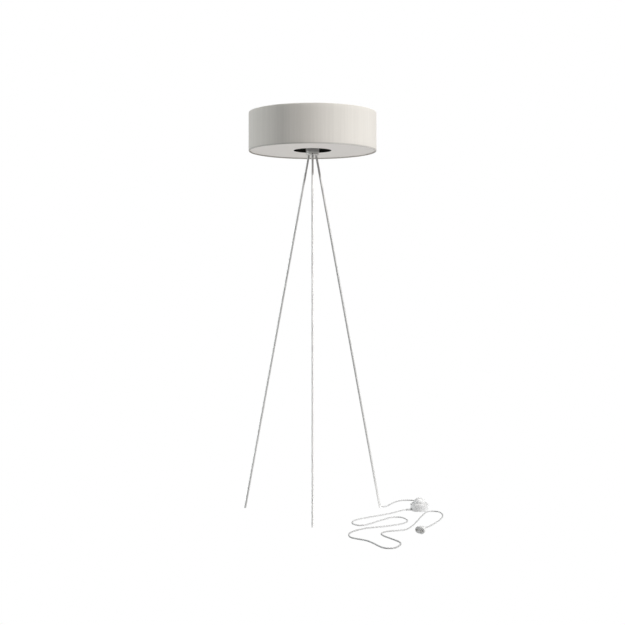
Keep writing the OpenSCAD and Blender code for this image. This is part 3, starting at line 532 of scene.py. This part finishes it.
# Points along each route in millimetres, the same as those of the frame's own cord tubes
legCordRoute = [
    exitPoint, alongWay(exitPoint, exitWay, legExit["grommet"] + 1),
    (283, 163.7, 3.9), (290, 168.5, 2.8), (299, 180, 2.8), (308, 201, 2.8), (320, 238, 2.8),
    (349, 312, 2.8), (366, 337, 2.8), (388, 349, 2.8), (412, 348, 2.8), (434, 336, 2.8),
    (449, 312, 2.8), (454, 282, 2.8), (449, 213, 2.8), (446, 184, 3.4), (443, 160, 6.2),
    alongWay(inTip, inWay, 8), inTip,
]
plugCordRoute = [
    outTip, alongWay(outTip, outWay, 10),
    (321, 14, 3.2), (283, -30, 2.8), (165, -165, 2.8), (149, -222, 2.8), (151, -261, 2.8),
    (167, -286, 2.8), (191, -286, 2.8), (211, -258, 2.8), (294, -117, 2.8), (314, -99, 2.8),
    (337, -101, 2.8), (350, -126, 2.8), (358, -185, 2.8), (338, -246, 2.8),
    (280, -302, 2.8), (192, -355, 2.8), (137, -442, 2.8), (134, -542, 2.8),
    (188, -610, 2.8), (234, -737, 2.8), (248, -751, 2.8), (268, -750, 2.8),
    (281, -734, 2.8), (300, -652, 2.8), (244, -478, 2.8), (266, -423, 2.8),
    (334, -384, 2.8), (362, -320, 2.8), (448, 26, 2.8), (460, 45, 2.8), (478, 48, 2.8),
    (493, 39, 2.8), (501, 18, 2.8), (504, -58, 2.8), (479, -176, 2.8),
    (424, -330, 4.4), (417, -372, 10.5), plugTail,
]


def spreadOf(a, b):
    return math.sqrt(math.dist(a, b))


# Slope at b of the smooth curve through a, b and c, over the stretch whose weight is w
def slopeAt(a, b, c, w):
    ab, bc = spreadOf(a, b), spreadOf(b, c)
    return [w * ((q - p) / ab - (r - p) / (ab + bc) + (r - q) / bc) for p, q, r in zip(a, b, c)]


def between(a, b, c, d, t):
    w = spreadOf(b, c)
    straight = [q - p for p, q in zip(b, c)]
    startSlope = straight if a == b else slopeAt(a, b, c, w)
    endSlope = straight if c == d else slopeAt(b, c, d, w)
    weights = (2 * t**3 - 3 * t**2 + 1, t**3 - 2 * t**2 + t, 3 * t**2 - 2 * t**3, t**3 - t**2)
    return tuple(
        weights[0] * p + weights[1] * m + weights[2] * q + weights[3] * n
        for p, m, q, n in zip(b, startSlope, c, endSlope)
    )


def smoothRoute(route, step):
    points = []
    last = len(route) - 1
    for i in range(last):
        count = max(2, round(math.dist(route[i], route[i + 1]) / step))
        around = (route[max(i - 1, 0)], route[i], route[i + 1], route[min(i + 2, last)])
        points += [between(*around, k / count) for k in range(count)]
    return points + [route[-1]]


def layCord(name, route):
    points = smoothRoute(route, cordSizes["step"])
    cleanStart()
    curve = bpy.data.curves.new(name, "CURVE")
    curve.dimensions = "3D"
    curve.bevel_depth = cordSizes["diameter"] / 2 * mm
    curve.bevel_resolution = cordSizes["sides"]
    curve.use_fill_caps = True
    spline = curve.splines.new("POLY")
    spline.points.add(len(points) - 1)
    for slotPoint, point in zip(spline.points, points):
        slotPoint.co = (point[0] * mm, point[1] * mm, point[2] * mm, 1.0)
    spline.use_smooth = True
    cord = bpy.data.objects.new(name, curve)
    bpy.context.scene.collection.objects.link(cord)
    length = sum(math.dist(a, b) for a, b in zip(points, points[1:])) * mm
    print(name, "length", round(length, 3), "m")
    return cord, length


legCord, legCordLength = layCord("legCord", legCordRoute)
addToModel(legCord, "root", "cord_pvc", finishes["cordVinyl"], "cord_leg_to_switch")
plugCord, plugCordLength = layCord("plugCord", plugCordRoute)
addToModel(plugCord, "root", "cord_pvc", finishes["cordVinyl"], "cord_switch_to_plug")
print("cords laid")


# Strain reliefs are moulded boots with a collar, ribs and a soft lip
def ribbedBoot(name, sizes):
    cordR = cordSizes["diameter"] / 2
    start, stop = sizes["ribsFrom"], sizes["ribsTo"]
    pitch = (stop - start) / sizes["ribs"]
    outline = [(0, sizes["root"])] + list(sizes["rootOutline"])
    for k in range(sizes["ribs"]):
        z = start + k * pitch
        share = (k + 0.5) / sizes["ribs"]
        ribR = sizes["wide"] + (sizes["narrow"] - sizes["wide"]) * share
        outline += [(ribR - sizes["groove"], z), (ribR, z + 0.18 * pitch),
                    (ribR, z + 0.62 * pitch), (ribR - sizes["groove"], z + 0.8 * pitch)]
    lip, tip = sizes["lip"], sizes["tip"]
    outline += arcOf((cordR + 1.0 - lip, tip - 0.1 - lip), lip, 0, 90, 4)
    outline += [(0, tip - 0.1)]
    piece = spinOutline(name, outline, 40)
    applyBevel(piece, sizes["edge"], 2, 30)
    smoothShade(piece, 40)
    return piece


# Heights along each boot from its root, and radii
switchBoot = {
    "root": 25.0, "rootOutline": [(4, 25.0), (4, 37.5), (5, 37.5), (5, 39.2), (4.3, 39.8)],
    "ribsFrom": 40.2, "ribsTo": 57.6, "ribs": 7, "wide": 4.35, "narrow": 3.3, "groove": 0.55,
    "tip": switchPlace["reliefTip"], "lip": 0.9, "edge": 0.15,
}
for name, azimuth, node in (("reliefBootIn", switchPlace["inAzimuth"], "relief_in"),
                            ("reliefBootOut", switchPlace["outAzimuth"], "relief_out")):
    boot = ribbedBoot(name, switchBoot)
    setInPlace(boot, [c * mm for c in switchCentre], tip=90, azimuth=azimuth)
    addToModel(boot, "root", "cord_pvc", finishes["cordVinyl"], node)

plugBoot = {
    "root": 0.02, "rootOutline": [(6, 0.02), (6, 1.6), (5.5, 2.2)],
    "ribsFrom": 2.8, "ribsTo": 27.6, "ribs": 9, "wide": 5.5, "narrow": 3.5, "groove": 0.7,
    "tip": plugPlace["relief"], "lip": 0.9, "edge": 0.15,
}
plugReliefPiece = ribbedBoot("plugReliefBoot", plugBoot)
bootStart = alongWay(plugFace, plugWay, -plugPlace["body"])
setInPlace(plugReliefPiece, [c * mm for c in bootStart], tip=-90, azimuth=plugPlace["azimuth"])
addToModel(plugReliefPiece, "root", "cord_pvc", finishes["cordVinyl"], "plug_relief")
print("strain reliefs made")


# Plug body: round-ended face, waist with grip ridges, slim neck (wide by high, millimetres)
plugShape = {
    "sides": 64, "faceEdge": 1.2, "softEdge": 0.2,
    "cheeks": [(2.0, 0.0, 0.0), (11.0, 0.0, 0.0), (14.0, 0.6, 0.5)],  # back from face, trims
    "gripFrom": 15.0, "gripTo": 31.0, "gripTrim": (0.8, 0.6), "gripEnd": (26.5, 20.5),
    "ridges": 5, "ridgeDepth": 0.55, "waist": 1.3,
    "neck": [(33.0, 24.0, 19.4), (37.5, 20.8, 17.6)],  # back from face, wide, high
}


# Outline sizes of the grip, from the face's width and height to the slim end of the waist
def ridgeSections(wide, high):
    trimW, trimH = plugShape["gripTrim"]
    endW, endH = plugShape["gripEnd"]
    pitch = (plugShape["gripFrom"] - plugShape["gripTo"]) / plugShape["ridges"]
    cut = plugShape["ridgeDepth"] * 2
    sections = []
    for k in range(plugShape["ridges"]):
        share = (k + 0.5) / plugShape["ridges"]
        w = wide - trimW + (endW - wide) * share**plugShape["waist"]
        h = high - trimH + (endH - high) * share
        z = k * pitch - plugShape["gripFrom"]
        sections += [(z, w - cut, h - cut), (z + 0.2 * pitch, w - 0.1, h - 0.1),
                     (z + 0.6 * pitch, w, h), (z + 0.8 * pitch, w - cut, h - cut)]
    return sections


def makePlugBody():
    wide, high = plugPlace["face"]
    cleanStart()
    bpy.ops.mesh.primitive_circle_add(
        vertices=plugShape["sides"], radius=high / 2 * mm, fill_type="NGON")
    piece = bpy.context.object
    piece.name = "plugShell"
    for side in (1, -1):
        pickOnly(piece)
        bpy.ops.object.mode_set(mode="EDIT")
        bpy.ops.mesh.select_mode(type="VERT")
        bpy.ops.mesh.select_all(action="DESELECT")
        bpy.ops.object.mode_set(mode="OBJECT")
        for vertex in piece.data.vertices:
            vertex.select = side * vertex.co.x > 0.01 * mm
        bpy.ops.object.mode_set(mode="EDIT")
        bpy.ops.transform.translate(value=(side * (wide - high) / 2 * mm, 0, 0))
        bpy.ops.object.mode_set(mode="OBJECT")
    sections = [(-z, wide - trimW, high - trimH) for z, trimW, trimH in plugShape["cheeks"]]
    sections += ridgeSections(wide, high)
    sections += [(-z, w, h) for z, w, h in plugShape["neck"]]
    sections.append((-plugPlace["body"], *plugPlace["back"]))
    pickOnly(piece)
    bpy.ops.object.mode_set(mode="EDIT")
    bpy.ops.mesh.select_mode(type="FACE")
    bpy.ops.mesh.select_all(action="SELECT")
    hereZ, hereW, hereH = 0.0, wide, high
    for z, w, h in sections:
        move = (0, 0, (z - hereZ) * mm)
        bpy.ops.mesh.extrude_region_move(TRANSFORM_OT_translate={"value": move})
        bpy.ops.transform.resize(value=(w / hereW, h / hereH, 1))
        hereZ, hereW, hereH = z, w, h
    bpy.ops.mesh.select_all(action="SELECT")
    bpy.ops.mesh.normals_make_consistent(inside=False)
    bpy.ops.object.mode_set(mode="OBJECT")
    applyBevel(piece, plugShape["faceEdge"], 4, 60)
    applyBevel(piece, plugShape["softEdge"], 2, 22)
    smoothShade(piece, 40)
    return piece


plugShell = makePlugBody()
setInPlace(plugShell, [c * mm for c in plugFace], ownTurn=90 - plugPlace["roll"], tip=90,
           azimuth=plugPlace["azimuth"])
addToModel(plugShell, "root", "plug_plastic", finishes["plugPlastic"], "plug_body")
print("plug made")


# Foot switch cover and button, heights from the floor
switchShape = {
    "foot": 69.0, "wide": 74.0, "split": 12.05, "shoulder": 25.0, "top": 33.0, "wall": 2.4,
    "rim": 4.5, "button": 48.0, "gap": 0.8, "buttonTop": 52.0, "skirt": 5.0, "buttonWall": 2.2,
    "flangeDrop": 4.8, "flangeThick": 1.6, "flangeReach": 2.4,
}


def housingR(z):
    foot, wide = switchShape["foot"] / 2, switchShape["wide"] / 2
    return foot + (wide - foot) * z / switchShape["shoulder"]


def makeSwitchCover():
    hole = switchShape["button"] / 2 + switchShape["gap"]
    wide, low, top = switchShape["wide"] / 2, switchShape["split"], switchShape["top"]
    shoulder, wall = switchShape["shoulder"], switchShape["wall"]
    rimR = hole + switchShape["rim"]
    outline = [(housingR(low) - wall, low), (housingR(low) - 0.5, low),
               (housingR(low + 0.5), low + 0.5), (wide - 0.5, shoulder - 1.2)]
    outline += arcOf((wide - 1.3, shoulder + 0.1), 1.3, 0, 62, 6)
    outline += [(rimR + 0.6, top - 1.0)]
    outline += arcOf((rimR - 1.0, top - 1.5), 1.5, 42, 90, 5)
    outline += arcOf((hole + 0.7, top - 0.7), 0.7, 90, 180, 5)
    outline += [(hole, top - 3), (rimR - 1, top - 3),
                (wide - wall - 1.4, shoulder - 0.4), (wide - wall - 0.6, shoulder - 2)]
    outline.append(outline[0])
    cover = spinOutline("switchCoverShell", outline, 128)
    smoothShade(cover, 30)
    return cover


def makeSwitchButton():
    r, top, wall = switchShape["button"] / 2, switchShape["buttonTop"], switchShape["buttonWall"]
    domeFoot = switchShape["top"] + switchShape["skirt"]
    rise = top - domeFoot
    domeR = (r * r + rise * rise) / (2 * rise)
    edge = math.degrees(math.asin((r - 1.2) / domeR))
    flange = switchShape["top"] - switchShape["flangeDrop"]
    flangeTop, flangeR = flange + switchShape["flangeThick"], r + switchShape["flangeReach"]
    dome = arcOf((0, top - domeR), domeR, 90, 90 - edge, 24)
    corner = arcOf((r - 1.0, domeFoot - 0.55), 1.0, 42, 0, 5)
    inner = [(x * (r - wall) / r, z - wall) for x, z in reversed(dome)]
    outline = dome + corner + [
        (r, flangeTop), (flangeR, flangeTop), (flangeR, flange), (r - wall, flange)
    ] + inner
    button = spinOutline("switchButtonCap", outline, 128)
    smoothShade(button, 30)
    return button


switchCover = makeSwitchCover()
setInPlace(switchCover, (switchPlace["x"] * mm, switchPlace["y"] * mm, 0))
addToModel(switchCover, "root", "switch_plastic", finishes["switchPlastic"], "switch_cover")
switchButton = makeSwitchButton()
setInPlace(switchButton, (switchPlace["x"] * mm, switchPlace["y"] * mm, 0))
addToModel(switchButton, "button", "switch_plastic", finishes["buttonPlastic"], "switch_button")
print("foot switch made")


# The shade cloth is rolled over both ring wires, with a lapped seam at the back
shadeShape = {
    "wallR": 249.7, "rollR": 2.6, "hem": 5.5, "thick": 0.5, "clear": 0.05, "rows": 8,
    "seamHalf": 5.0, "seamRise": 0.35, "lap": 8.0, "steps": 192,
}


def makeShade():
    low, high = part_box("shade_fabric")
    bottom, top = low[2] / mm, high[2] / mm
    wallR, roll, half = shadeShape["wallR"], shadeShape["rollR"], shadeShape["thick"] / 2
    rollCentre = wallR - roll
    clear = shadeShape["clear"]
    lowCentre, highCentre = bottom + roll + half + clear, top - roll - half - clear
    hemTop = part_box("diffuser")[0][2] / mm - half - 2 * clear
    outline = [(rollCentre - roll, hemTop)]
    outline += arcOf((rollCentre, lowCentre), roll, 180, 360, 12)
    rows = shadeShape["rows"]
    outline += [(wallR, bottom + (top - bottom) * k / rows) for k in range(1, rows)]
    outline += arcOf((rollCentre, highCentre), roll, 0, 180, 12)
    outline += [(rollCentre - roll, highCentre - shadeShape["hem"])]
    shade = spinOutline("shadeCloth", outline, shadeShape["steps"])
    seamHalf, outside = shadeShape["seamHalf"] * mm, (wallR - 0.3) * mm
    selectFaces(shade, lambda centre, normal: centre.y > 0 and abs(centre.x) < seamHalf
                and math.hypot(centre.x, centre.y) > outside)
    bpy.ops.mesh.extrude_region_shrink_fatten(
        TRANSFORM_OT_shrink_fatten={"value": shadeShape["seamRise"] * mm})
    backToObject()
    pickOnly(shade)
    cloth = shade.modifiers.new("clothThickness", "SOLIDIFY")
    cloth.thickness = shadeShape["thick"] * mm
    cloth.offset = 0
    bpy.ops.object.modifier_apply(modifier=cloth.name)
    smoothShade(shade, 40)
    run = sum(math.dist(a, b) for a, b in zip(outline, outline[1:]))
    return shade, run * mm


shadeCloth, clothHeight = makeShade()
addToModel(shadeCloth, "root", "shade_fabric", finishes["shadeCloth"], "shade_fabric")


# Finial with a knurled edge
finialShape = {
    "gripR": 10.0, "gripHeight": 7.0, "stemR": 5.9, "height": 12.0, "boreDepth": 11.0,
    "boreR": 5.05, "flutes": 40, "fluteDepth": 0.45,
}


def makeFinial():
    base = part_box("finial")[0][2] / mm
    r, grip = finialShape["gripR"], finialShape["gripHeight"]
    h, stem = finialShape["height"], finialShape["stemR"]
    bore, deep = finialShape["boreR"], finialShape["boreDepth"]
    outline = [(bore, 0), (r - 1, 0), (r, 1), (r, grip)]
    outline += [(r - 0.3, grip + 0.6), (r - 1.2, grip + 1.2), (stem + 0.6, grip + 2),
                (stem, grip + 2.8)]
    outline += arcOf((4.2, h - 1.2), 1.2, 20, 90, 5)
    outline += [(0, h)]
    finial = spinOutline("knurledFinial", outline + [(0, deep), (bore, deep), (bore, 0)],
                         finialShape["flutes"] * 2)
    groove = math.tau / (finialShape["flutes"] * 2)
    pickOnly(finial)
    for vertex in finial.data.vertices:
        turn = round(math.atan2(vertex.co.y, vertex.co.x) / groove)
        outside = math.hypot(vertex.co.x, vertex.co.y) > (r - 0.5) * mm
        vertex.select = outside and turn % 2 == 1
    bpy.ops.object.mode_set(mode="EDIT")
    shrink = 1 - finialShape["fluteDepth"] / r
    bpy.ops.transform.resize(value=(shrink, shrink, 1))
    bpy.ops.object.mode_set(mode="OBJECT")
    setInPlace(finial, (0, 0, base * mm))
    smoothShade(finial, 25)
    return finial


addToModel(makeFinial(), "root", "plated_steel", finishes["zincPlate"], "finial")
print("finial made")


# Bulbs and lampholders: one of each is modelled and copied round the column
lampShape = {
    "start": 27.0, "holderLength": 46.0, "holderD": 39.0, "wall": 3.0, "floor": 12.0,
    "boreR": 5.05, "ribs": 4, "ribsFrom": 17.0, "ribPitch": 5.5, "ribDepth": 0.7, "ribWide": 2.0,
    "globeD": 60.0, "reach": 84.0, "baseD": 26.0, "sunk": 3.9,
}
lampAzimuths = {"rear": 90.0, "left": 210.0, "right": 330.0}
lampHeight = centreOf("holder_rear")[2]


def makeGlobe():
    r = lampShape["globeD"] / 2
    mouth = lampShape["start"] + lampShape["holderLength"]
    start = mouth - lampShape["sunk"]
    middle = mouth + lampShape["reach"] - r
    neck = lampShape["baseD"] / 2
    outline = [(0, start), (neck - 0.6, start), (neck + 0.3, start + 0.8), (neck + 1, start + 6),
               (neck + 2.2, start + 12), (neck + 4.6, start + 20)]
    outline += arcOf((0, middle), r, -41, 90, 26)
    globe = spinOutline("globe", outline, 72)
    smoothShade(globe, 45)
    return globe


def makeHolder():
    start, mouth = lampShape["start"], lampShape["start"] + lampShape["holderLength"]
    r, bore = lampShape["holderD"] / 2, lampShape["boreR"]
    inner, floorTop = r - lampShape["wall"], start + lampShape["floor"]
    ribDepth, ribWide = lampShape["ribDepth"], lampShape["ribWide"]
    outline = [(bore, start), (10.4, start), (11.2, start + 0.5), (r - 3.2, start + 3.8)]
    outline += arcOf((r - 4.0, start + 8.6), 4.0, -50, 0, 6)
    for k in range(lampShape["ribs"]):
        z = start + lampShape["ribsFrom"] + lampShape["ribPitch"] * k
        outline += [(r, z), (r - ribDepth, z + ribWide / 4), (r - ribDepth, z + ribWide * 3 / 4),
                    (r, z + ribWide)]
    outline += arcOf((r - 0.9, mouth - 0.9), 0.9, 0, 90, 4)
    outline += [(inner, mouth), (inner, floorTop), (9, floorTop), (9, start + 5),
                (bore, start + 5), (bore, start)]
    holder = spinOutline("holder", outline, 72)
    smoothShade(holder, 35)
    return holder


for label, make, slotName, finish in (
        ("bulb", makeGlobe, "opal_globe", "opalGlobe"),
        ("holder", makeHolder, "holder_plastic", "holderPlastic")):
    pattern = make()
    for side, azimuth in lampAzimuths.items():
        copy = pattern.copy()
        copy.data = pattern.data.copy()
        copy.name = label + side.capitalize()
        bpy.context.scene.collection.objects.link(copy)
        setInPlace(copy, (0, 0, lampHeight), tip=90, azimuth=azimuth)
        addToModel(copy, "root", slotName, finishes[finish], label + "_" + side)
    bpy.data.objects.remove(pattern)
print("lamps made")
# Studio floor, backdrop and lights
studio = {
    "floorSize": 60.0, "floorGlow": 0.28, "poolGlow": 0.9, "poolRadius": 0.4,
    "poolCentre": (0.36, -0.04, 0.0), "frontGlow": 0.03, "backGlow": 0.2,
    "suns": {  # name: azimuth, elevation, strength, spread in degrees, colour
        "key": (62.5, 22.8, 3.05, 3.0, (1.0, 0.995, 0.985)),
        "left": (-96.6, 4.0, 1.42, 14.0, (0.95, 1.0, 1.01)),
        "top": (0.0, 88.0, 2.4, 60.0, (1.0, 1.0, 1.0)),
        "bounce": (0.0, -88.0, 1.7, 60.0, (1.0, 0.99, 0.975)),  # light off the floor
    },
}


# White to the camera, and a softer glow towards the lamp itself
def twoWayGlow(tree, output, glow):
    link = tree.links.new
    path = tree.nodes.new("ShaderNodeLightPath")
    shown = tree.nodes.new("ShaderNodeEmission" if output.type == "OUTPUT_MATERIAL"
                           else "ShaderNodeBackground")
    hidden = tree.nodes.new(shown.bl_idname)
    for shader in (shown, hidden):
        shader.inputs["Color"].default_value = (1, 1, 1, 1)
    link(glow, hidden.inputs["Strength"])
    mix = tree.nodes.new("ShaderNodeMixShader")
    link(path.outputs["Is Camera Ray"], mix.inputs[0])
    link(hidden.outputs[0], mix.inputs[1])
    link(shown.outputs[0], mix.inputs[2])
    link(mix.outputs[0], output.inputs["Surface"])


def fadeOf(tree, value, start, stop, low, high):
    fade = tree.nodes.new("ShaderNodeMapRange")
    fade.interpolation_type = "SMOOTHSTEP"
    fade.inputs["From Min"].default_value = start
    fade.inputs["From Max"].default_value = stop
    fade.inputs["To Min"].default_value = low
    fade.inputs["To Max"].default_value = high
    tree.links.new(value, fade.inputs["Value"])
    return fade.outputs["Result"]


cleanStart()
bpy.ops.mesh.primitive_plane_add(size=studio["floorSize"], location=(0, 0, 0))
floor = bpy.context.object
floor.name = "studioFloor"
floor.visible_shadow = False  # lets the bounce light through from below
floorPaint = bpy.data.materials.new("studioWhite")
floorPaint.use_nodes = True
floorTree = floorPaint.node_tree
floorTree.nodes.remove(floorTree.nodes["Principled BSDF"])
floorPlace = floorTree.nodes.new("ShaderNodeTexCoord")
reach = floorTree.nodes.new("ShaderNodeVectorMath")
reach.operation = "LENGTH"
centred = floorTree.nodes.new("ShaderNodeVectorMath")
centred.operation = "SUBTRACT"
centred.inputs[1].default_value = studio["poolCentre"]
floorTree.links.new(floorPlace.outputs["Object"], centred.inputs[0])
floorTree.links.new(centred.outputs[0], reach.inputs[0])
pool = fadeOf(floorTree, reach.outputs["Value"], 0.5 * studio["poolRadius"],
              1.5 * studio["poolRadius"], studio["floorGlow"] + studio["poolGlow"],
              studio["floorGlow"])
twoWayGlow(floorTree, floorTree.nodes["Material Output"], pool)
dress(floor, floorPaint)

world = bpy.data.worlds.new("studioWorld")
bpy.context.scene.world = world
world.use_nodes = True
worldTree = world.node_tree
for node in [n for n in worldTree.nodes if n.type == "BACKGROUND"]:
    worldTree.nodes.remove(node)
direction = worldTree.nodes.new("ShaderNodeTexCoord")
ways = worldTree.nodes.new("ShaderNodeSeparateXYZ")
worldTree.links.new(direction.outputs["Generated"], ways.inputs[0])
backdrop = fadeOf(worldTree, ways.outputs["Y"], -0.1, 0.7, studio["frontGlow"],
                  studio["backGlow"])
worldOutput = [n for n in worldTree.nodes if n.type == "OUTPUT_WORLD"][0]
twoWayGlow(worldTree, worldOutput, backdrop)

for name, (azimuth, elevation, strength, spread, colour) in studio["suns"].items():
    cleanStart()
    bpy.ops.object.light_add(type="SUN", location=(0, 0, 3))
    sun = bpy.context.object
    sun.name = name + "Light"
    sun.data.energy = strength
    sun.data.color = colour
    sun.data.angle = math.radians(spread)
    sun.rotation_euler = (math.radians(90 - elevation), 0, math.radians(azimuth))
bpy.context.scene.view_settings.view_transform = "Standard"
print("studio lit")


print("scene ready")
